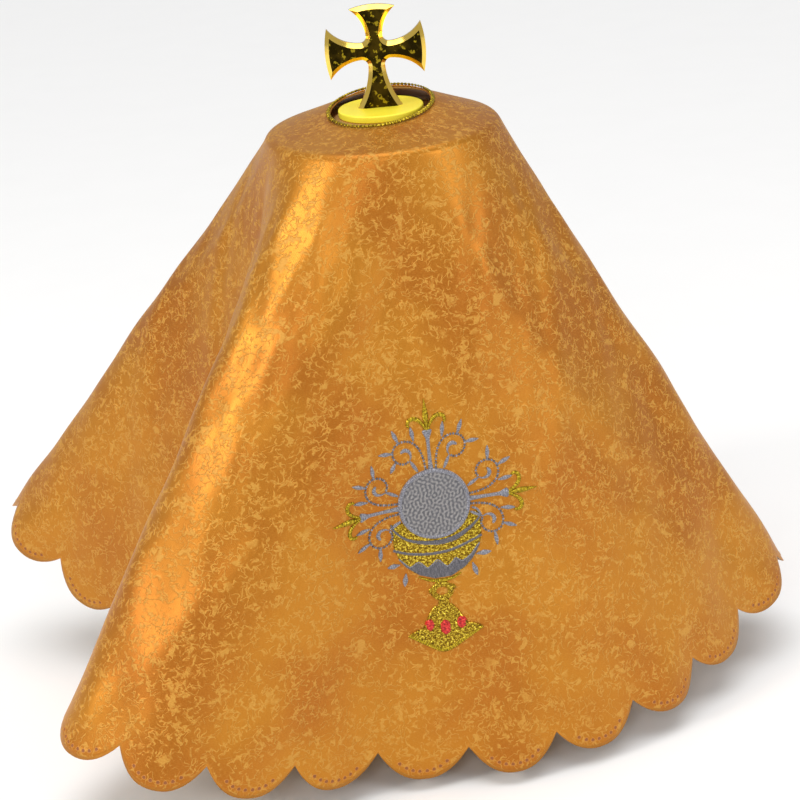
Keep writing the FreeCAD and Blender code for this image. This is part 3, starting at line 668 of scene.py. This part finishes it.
class Needlework:
    def __init__(self, name, node, slot, threads):
        self.name, self.node, self.slot, self.threads = name, node, slot, threads
        self.points, self.faces, self.cut, self.which = [], [], [], []
        self.count = 0

    def add(self, x, y, height, faces, u, v, thread):
        self.points.append(np.stack([x, y, height], -1))
        for face in faces:
            self.faces.append([i + self.count for i in face])
            self.cut.extend((u[i] * mm, v[i] * mm) for i in face)
            self.which.append(self.threads.index(thread))
        self.count += len(x)

    def satin(self, path, thread, height=0.8, step=0.45, base=0.0, closed=False):
        # a column of satin stitch: the path's points are x, y and the column's width there
        guess = sum(math.dist(a[:2], b[:2]) for a, b in zip(path, path[1:]))
        count = max(8, int(guess / step))
        line, length = smoothLine(path, count, closed)
        way = np.gradient(line[:, :2], axis=0)
        side = unit(np.stack([-way[:, 1], way[:, 0]], -1))
        across = np.array([-1, -0.92, -0.7, -0.36, 0, 0.36, 0.7, 0.92, 1, 0.55, -0.55])
        crown = np.concatenate([np.sqrt(1 - across[:9] ** 2), [0, 0]])
        half = np.maximum(line[:, 2], 0.1) / 2
        x = (line[:, 0:1] + side[:, 0:1] * across * half[:, None])
        y = (line[:, 1:2] + side[:, 1:2] * across * half[:, None])
        full = np.minimum(1, half / 0.55)[:, None]
        h = base - emblem["sink"] + crown * (height * full + emblem["sink"])
        h[:, 9:] = -emblem["sink"] * 1.4
        ring = len(across)
        index = np.arange(count * ring).reshape(count, ring)
        nextColumn, nextRow = np.roll(index, -1, 1), index[1:]
        faces = np.stack([index[:-1], nextColumn[:-1], np.roll(nextRow, -1, 1), nextRow], -1).reshape(-1, 4)
        faces = [list(f) for f in faces]
        if not closed:
            faces += [list(index[0][::-1]), list(index[-1])]
        u = np.repeat(np.linspace(0, length, count), ring) + self.count * 0.37
        v = (across * half[:, None]).ravel()
        self.add(x.ravel(), y.ravel(), h.ravel(), faces, u, v, thread)

    def fill(self, low, high, thread, height=0.45, edge=0.9, wide=60, tall=24, rough=0.0):
        # a filled area between two lines that run the same way
        a, length = smoothLine([(x, y) for x, y in low], wide)
        b, other = smoothLine([(x, y) for x, y in high], wide)
        self.patch(a, b, thread, height, edge, tall, rough)

    def patch(self, a, b, thread, height, edge, tall, rough=0.0):
        wide = len(a)
        t = np.linspace(0, 1, tall)[None, :, None]
        p = a[:, None] * (1 - t) + b[:, None] * t
        across = np.linalg.norm(b - a, axis=1)
        fromLong = np.minimum(t[..., 0], 1 - t[..., 0]) * across[:, None]
        ends = np.minimum(np.arange(wide), np.arange(wide)[::-1])[:, None] * (
            np.linalg.norm(np.diff((a + b) / 2, axis=0), axis=1).mean())
        near = np.minimum(fromLong, ends + 0 * fromLong)
        h = height * np.sqrt(1 - (1 - np.clip(near / edge, 0, 1)) ** 2) - 0.03
        if rough:
            h += rough * wormStitches(p[..., 0], p[..., 1], 1.5) * np.clip(near / edge, 0, 1)
        top = np.arange(wide * tall).reshape(wide, tall)
        rim = np.concatenate([top[:, 0], top[-1, 1:], top[-2::-1, -1], top[0, -2:0:-1]])
        faces = np.stack([top[:-1, :-1], top[1:, :-1], top[1:, 1:], top[:-1, 1:]], -1).reshape(-1, 4).tolist()
        x, y, h = p[..., 0].ravel(), p[..., 1].ravel(), h.ravel()
        under = len(x)
        x, y = np.concatenate([x, x[rim]]), np.concatenate([y, y[rim]])
        h = np.concatenate([h, np.full(len(rim), -emblem["sink"])])
        low = under + np.arange(len(rim))
        faces += np.stack([rim, low, np.roll(low, -1), np.roll(rim, -1)], -1).tolist()
        faces.append(low[::-1].tolist())
        self.add(x, y, h, faces, x, y, thread)

    def sew(self, ridge=None):
        flat = np.concatenate(self.points)
        points = stitchedTo(flat[:, 0], flat[:, 1], flat[:, 2])
        piece = meshFrom(self.name, points, self.faces, self.cut)
        for thread in self.threads:
            piece.data.materials.append(finishes[thread])
        piece.data.polygons.foreach_set("material_index", self.which)
        if ridge is not None:
            pointValue(piece, "ridge", ridge)
        deselectAll()
        bpy.context.view_layer.objects.active = piece
        piece.select_set(True)
        bpy.ops.object.mode_set(mode="EDIT")
        bpy.ops.mesh.select_all(action="SELECT")
        bpy.ops.mesh.normals_make_consistent(inside=False)
        bpy.ops.object.mode_set(mode="OBJECT")
        piece.select_set(False)
        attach(piece, "veil")
        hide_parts(self.node)
        print(self.name, "sewn,", len(piece.data.polygons), "faces")
        return piece


def wormStitches(x, y, size, seed=4):  # curling ridges of one width, from waves in many directions
    maker = np.random.default_rng(seed)
    total = 0 * x
    for n in range(26):
        angle, phase, width = maker.uniform((0, 0, 0.8), (2 * math.pi, 2 * math.pi, 1.25))
        total = total + np.cos((x * math.cos(angle) + y * math.sin(angle)) * 2 * math.pi / (size * width) + phase)
    return 1 / (1 + np.exp(-total))


def makeHost():
    host = Needlework("emblemHost", "emblem_host", "silver_thread", ["host", "silver", "steel"])
    radius, rings, spokes = 15.6, 60, 200
    r = np.linspace(0, radius, rings + 1)[1:]
    turn = np.linspace(0, 2 * math.pi, spokes, endpoint=False)
    x = np.concatenate([[0], (r[:, None] * np.cos(turn)).ravel()])
    y = np.concatenate([[0], (r[:, None] * np.sin(turn)).ravel()])
    worm = wormStitches(x, y, 1.7)
    h = 0.85 + 0.3 * worm
    index = 1 + np.arange(rings * spokes).reshape(rings, spokes)
    ahead = np.roll(index, -1, 1)
    faces = np.stack([index[:-1], index[1:], ahead[1:], ahead[:-1]], -1).reshape(-1, 4).tolist()
    faces += [[0, int(a), int(b)] for a, b in zip(index[0], ahead[0])]
    low = 1 + rings * spokes + np.arange(spokes)
    faces += np.stack([index[-1], low, np.roll(low, -1), ahead[-1]], -1).tolist() + [low[::-1].tolist()]
    x, y = np.concatenate([x, x[index[-1]]]), np.concatenate([y, y[index[-1]]])
    h = np.concatenate([h, np.full(spokes, -0.2)])
    host.add(x, y, h, faces, x, y, "host")
    around = np.linspace(0, 2 * math.pi, 24, endpoint=False)
    for reach, width, thread, height in ((16.1, 2.2, "silver", 1.45), (14.7, 0.9, "steel", 1.2)):
        host.satin([(reach * math.cos(a), reach * math.sin(a), width) for a in around], thread, height,
                   closed=True)
    ridge = np.zeros(host.count)
    ridge[:len(worm)] = worm
    return host.sew(ridge)


def makeRays():
    rays = Needlework("emblemSwirls", "emblem_rays", "silver_thread", ["silver", "steel"])
    petals = [((31.5, 6.7), (38.5, 7.7)), ((31.7, 14.0), (38.5, 16.7)), ((27.3, 17.1), (27.9, 24.0))]
    path = [(17.4, 2.5), (22.0, 3.0), (27.0, 4.5), (30.8, 7.6), (32.1, 11.8), (30.6, 15.7), (26.8, 17.3),
            (22.9, 15.8), (21.2, 12.4), (22.2, 9.6)]
    comma = [(22.6, 9.3, 0.5), (24.4, 8.7, 0.9), (26.7, 9.3, 1.6), (27.8, 11.2, 2.0), (27.2, 12.8, 1.4),
             (26.6, 13.3, 0.5)]
    leaf = [(22.3, 9.4, 0.6), (20.6, 8.4, 1.5), (18.6, 7.3, 1.7), (16.6, 6.2, 0.9)]
    deselectAll()
    bpy.ops.mesh.primitive_uv_sphere_add(segments=10, ring_count=6, radius=mm)
    bpy.ops.object.mode_set(mode="EDIT")
    bpy.ops.mesh.select_all(action="SELECT")
    bpy.ops.transform.resize(value=(0.58, 0.62, 0.62))
    bead, beadFaces = takeTemplate()
    for stemTurn, sides in ((90, (1, -1)), (0, (1, -1)), (180, (1, -1))):
        for sideways in sides:
            cosTurn, sinTurn = math.cos(math.radians(stemTurn)), math.sin(math.radians(stemTurn))

            def toEmblem(u, v):
                v = v * sideways
                return u * cosTurn - v * sinTurn, u * sinTurn + v * cosTurn

            def column(points):
                return [toEmblem(p[0], p[1]) + (p[2],) for p in points]

            line, length = smoothLine(path, 200)
            for gone in np.arange(0, length, 1.32):
                at = line[int(gone / length * 199)]
                ahead = line[min(199, int(gone / length * 199) + 4)] - at
                turn = math.atan2(ahead[1], ahead[0])
                u = at[0] + bead[:, 0] * math.cos(turn) - bead[:, 1] * math.sin(turn)
                v = at[1] + bead[:, 0] * math.sin(turn) + bead[:, 1] * math.cos(turn)
                x, y = toEmblem(u, v)
                rays.add(x, y, bead[:, 2] + 0.12, beadFaces, x, y, "silver" if int(gone / 1.32) % 2 else "steel")
            rays.satin(column(comma), "silver", 0.85, 0.3)
            rays.satin(column(leaf), "silver", 0.8, 0.3)
            extra = [((22.6, 16.2), (18.0, 19.0))] if (stemTurn, sideways) == (90, 1) else []
            for (u0, v0), (u1, v1) in petals + extra:
                at = [(u0 + (u1 - u0) * k, v0 + (v1 - v0) * k, w) for k, w in
                      ((0, 0.7), (0.2, 1.3), (0.5, 2.1), (0.75, 1.6), (1, 0.35))]
                rays.satin(column(at), "silver", 0.85, 0.3)
        stem = [(16.8, 0, 2.6), (21, 0, 1.9), (27, 0, 1.7), (31.4, 0, 2.0), (33.2, 0, 3.4), (35.2, 0, 4.8),
                (35.9, 0, 3.0)]
        rays.satin(column(stem), "silver", 0.9, 0.35)
    loose = (((-19.0, -27.5), (-25.0, -27.9)), ((-16.6, -32.4), (-17.8, -38.8)),
             ((17.4, -26.8), (24.5, -26.5)), ((15.2, -30.8), (17.0, -37.2)))
    for (x0, y0), (x1, y1) in loose:
        rays.satin([(x0 + (x1 - x0) * k, y0 + (y1 - y0) * k, w) for k, w in
                    ((0, 0.6), (0.2, 1.4), (0.5, 2.6), (0.78, 1.8), (1, 0.4))], "silver", 0.9, 0.3)
    return rays.sew()


def makeFinials():
    finials = Needlework("emblemFinials", "emblem_finials", "gold_thread", ["gold"])
    spear = [(35.6, 0, 1.4), (38, 0, 1.6), (41.5, 0, 2.9), (44.5, 0, 2.5), (47.5, 0, 1.5), (50.6, 0, 0.4)]
    curl = [(35.8, 0.6, 1.2), (38.4, 1.7, 1.6), (40.9, 3.6, 2.1), (42.0, 6.0, 2.2), (41.3, 8.2, 2.0),
            (39.2, 8.8, 1.5), (38.2, 8.0, 0.8)]
    for turn in (0, 90, 180):
        cosTurn, sinTurn = math.cos(math.radians(turn)), math.sin(math.radians(turn))
        for shape, sideways in ((curl, 1), (curl, -1), (spear, 1)):
            finials.satin([(u * cosTurn - v * sideways * sinTurn, u * sinTurn + v * sideways * cosTurn, w)
                           for u, v, w in shape], "gold", 1.0 if shape is spear else 0.85, 0.3)
    return finials.sew()


def makeBowl():
    bowl = Needlework("emblemBowl", "emblem_bowl", "gold_thread", ["glitter", "steel", "silver", "gold"])
    left = [(-21.0, -7.0), (-21.2, -13.0), (-21.0, -19.5), (-19.0, -25.0), (-16.2, -29.3), (-10.5, -34.0),
            (-0.6, -36.6)]
    right = [(20.6, -6.2), (21.0, -12.5), (20.6, -18.5), (18.8, -23.0), (15.6, -28.5), (10.0, -33.6),
             (-0.2, -36.6)]
    bowl.fill(left, right, "glitter", 0.42, 0.8, 64, 60, 0.2)
    bowl.satin([(-21.4, -7.0, 0.8), (-20.0, -10.4, 1.2), (-15.0, -15.2, 1.5), (-8.0, -18.0, 2.2),
                (0.5, -19.0, 3.0), (8.0, -17.7, 3.0), (14.0, -14.6, 2.2), (18.4, -11.4, 1.5), (21.3, -8.4, 1.0)],
               "steel", 1.0, 0.4)
    bowl.satin([(-19.6, -11.2, 0.8), (-14.4, -15.9, 0.8), (-7.0, -18.8, 0.8), (0, -20.1, 0.7)], "silver", 1.15, 0.4)
    bowl.satin([(17.5, -4.2, 0.9), (19.8, -5.4, 1.1), (21.5, -8.2, 1.0)], "silver", 0.9, 0.3)
    bowl.satin([(-21.6, -19.8, 1.2), (-14.0, -22.8, 1.4), (-5.0, -24.3, 1.5), (4.0, -23.7, 1.5),
                (12.0, -21.4, 1.4), (20.8, -17.9, 1.2)], "steel", 1.0, 0.4)
    bowl.satin([(-21.0, -19.4, 0.5), (-14.0, -22.3, 0.6), (-5.0, -23.8, 0.6), (4.0, -23.2, 0.6),
                (12.0, -20.9, 0.6), (20.4, -17.5, 0.5)], "silver", 1.2, 0.4)
    zigzag = [(-19.2, -24.4), (-16.6, -27.4), (-14.1, -29.4), (-10.4, -27.6), (-8.0, -29.4), (-6.3, -31.0),
              (-3.6, -29.4), (-1.2, -27.6), (1.2, -29.6), (3.3, -31.2), (5.6, -29.4), (7.6, -27.6),
              (10.0, -29.2), (11.9, -28.6), (15.0, -26.4), (17.3, -23.8), (19.4, -21.4)]
    under = [(-19.4, -24.9), (-16.3, -29.3), (-10.4, -34.2), (-3.0, -36.8), (4.5, -36.4), (11.6, -32.4),
             (15.8, -28.2), (19.8, -21.9)]
    sides = [np.array(zigzag), np.array(under)]
    at = np.linspace(-19.2, 19.4, 90)
    top = np.stack([at, np.interp(at, sides[0][:, 0], sides[0][:, 1])], -1)
    low = np.stack([at, np.minimum(np.interp(at, sides[1][:, 0], sides[1][:, 1]), top[:, 1] - 0.3)], -1)
    bowl.patch(low, top, "steel", 0.85, 0.7, 16)
    bowl.satin([(x, y, 0.8) for x, y in zigzag], "silver", 1.1, 0.3)
    bowl.satin([(-11.0, -35.0, 0.6), (-6.0, -37.2, 1.5), (-0.8, -38.0, 1.9), (4.6, -37.4, 1.5), (9.4, -35.2, 0.6)],
               "gold", 0.8, 0.35)
    return bowl.sew()


def makeKnop():
    knop = Needlework("emblemKnop", "emblem_stem", "gold_thread", ["glitter"])
    knop.satin([(-0.6 + 4.1 * math.cos(a), -43.2 + 3.4 * math.sin(a), 3.0)
                for a in np.linspace(0, 2 * math.pi, 16, endpoint=False)], "glitter", 0.95, 0.35, closed=True)
    knop.satin([(3.0, -41.0, 2.0), (5.0, -41.4, 2.2), (5.4, -42.6, 1.2)], "glitter", 0.9, 0.3)
    knop.satin([(-3.8, -41.4, 2.0), (-6.0, -42.2, 2.0), (-6.4, -43.6, 1.0)], "glitter", 0.9, 0.3)
    return knop.sew()


def makeFoot():
    foot = Needlework("emblemFoot", "emblem_foot", "gold_thread", ["glitter", "gold"])
    left = [(-2.4, -46.8), (-3.2, -50.0), (-6.6, -53.2), (-8.6, -57.0), (-10.2, -60.4), (-18.2, -63.6),
            (-10.0, -68.4), (-2.2, -71.8)]
    right = [(1.8, -46.8), (2.6, -50.0), (5.0, -53.0), (7.4, -56.6), (9.6, -59.8), (16.6, -62.8),
             (9.0, -67.8), (-1.4, -71.8)]
    at = np.linspace(0, 1, 70)
    sides = []
    for side in (left, right):
        side = np.array(side)
        gone = -side[:, 1]
        level = 46.8 + at * 25.0
        sides.append(np.stack([np.interp(level, gone, side[:, 0]), -level], -1))
    foot.patch(sides[0], sides[1], "glitter", 0.6, 0.9, 44, 0.3)
    foot.satin([(-18.4, -63.4, 1.6), (-10.4, -68.2, 2.4), (-1.8, -72.2, 2.6), (8.2, -67.4, 2.4), (17.0, -62.6, 1.6)],
               "gold", 0.95, 0.4)
    for path in ([(-4.2, -50.4, 1.6), (-6.8, -53.6, 2.0), (-10.2, -60.4, 1.4)],
                 [(2.6, -50.0, 1.6), (5.2, -53.2, 2.0), (9.6, -60.0, 1.4)],
                 [(-3.6, -55.0, 1.2), (-4.8, -60.4, 1.3), (-7.6, -66.6, 1.0)],
                 [(-17.6, -63.2, 1.2), (-13.4, -61.6, 1.3), (-9.6, -60.6, 1.0)],
                 [(16.0, -62.2, 1.2), (12.6, -60.8, 1.3), (9.4, -60.2, 1.0)],
                 [(-2.6, -47.6, 1.4), (-0.4, -48.6, 1.8), (2.2, -47.8, 1.4)],
                 [(-6.4, -53.2, 1.2), (-0.6, -54.6, 1.6), (5.0, -53.0, 1.2)]):
        foot.satin(path, "glitter", 1.0, 0.35)
    return foot.sew()


def makeGems():
    gems = Needlework("emblemGems", "emblem_gems", "red_thread", ["red"])
    for x, y, wide, tall in ((-8.0, -59.2, 4.9, 6.0), (-0.6, -61.0, 5.9, 7.6), (7.2, -59.2, 5.2, 6.2)):
        gems.satin([(x, y + tall / 2, 0.6), (x, y + tall * 0.3, wide * 0.8), (x, y, wide),
                    (x, y - tall * 0.3, wide * 0.8), (x, y - tall / 2, 0.6)], "red", 1.5, 0.3)
    return gems.sew()


embroidery = [makeHost(), makeRays(), makeFinials(), makeBowl(), makeKnop(), makeFoot(), makeGems()]

[hemEyelets, braidRing] + embroidery


# floor, light and camera

studio = {"target": (-0.0042, 0.0, 0.1634), "distance": 1.0, "above": 22.0, "roll": -5.5, "lens": 90,
          "floor": 6.0}
deselectAll()
bpy.ops.mesh.primitive_plane_add(size=studio["floor"], location=(0, 0, -0.0004))
floor = bpy.context.object
floor.name = "floor"
paper = Finish("palePaper", Roughness=0.8)
paper.feed("Base Color", paper.mix(paper.noise(paper.place(), 60, 2), (0.88, 0.88, 0.88, 1), (0.9, 0.9, 0.9, 1)))
floor.data.materials.append(paper.material)


def softLight(name, place, aim, size, power, colour):
    bpy.ops.object.light_add(type="AREA", location=place)
    lamp = bpy.context.object
    lamp.name = name
    lamp.data.shape, lamp.data.size, lamp.data.energy, lamp.data.color = "DISK", size, power, colour
    lamp.rotation_euler = (Vector(aim) - Vector(place)).to_track_quat("-Z", "Y").to_euler()


softLight("key", (-1.45, -0.75, 0.98), (0, 0, 0.15), 0.45, 11.5, (1.0, 0.97, 0.9))
softLight("front", (-0.2, -1.5, 1.0), (0, 0, 0.15), 0.6, 5, (1.0, 0.98, 0.95))
softLight("fill", (1.5, -1.0, 0.8), (0, 0, 0.15), 0.7, 9, (1.0, 0.98, 0.96))
bpy.ops.object.light_add(type="SUN", location=(0, 0, 2))
overhead = bpy.context.object
overhead.name = "overhead"
overhead.data.energy, overhead.data.angle = 1.6, math.radians(50)
world = bpy.data.worlds.new("studio")
world.use_nodes = True
world.node_tree.nodes["Background"].inputs["Color"].default_value = (1, 1, 1, 1)
world.node_tree.nodes["Background"].inputs["Strength"].default_value = 0.45
bpy.context.scene.world = world

above, roll = math.radians(studio["above"]), math.radians(studio["roll"])
back = Vector((0, -math.cos(above), math.sin(above)))
right = Vector((1, 0, 0))
up = back.cross(right)
level = (right * math.cos(roll) + up * math.sin(roll), up * math.cos(roll) - right * math.sin(roll), back)
bpy.ops.object.camera_add()
camera = bpy.context.object
camera.matrix_world = (Matrix.Translation(Vector(studio["target"]) + back * studio["distance"])
                       @ Matrix(level).transposed().to_4x4())
camera.data.lens = studio["lens"]
camera.data.clip_start = 0.01
bpy.context.scene.camera = camera
bpy.context.scene.view_settings.view_transform = "Standard"
print("studio lit")
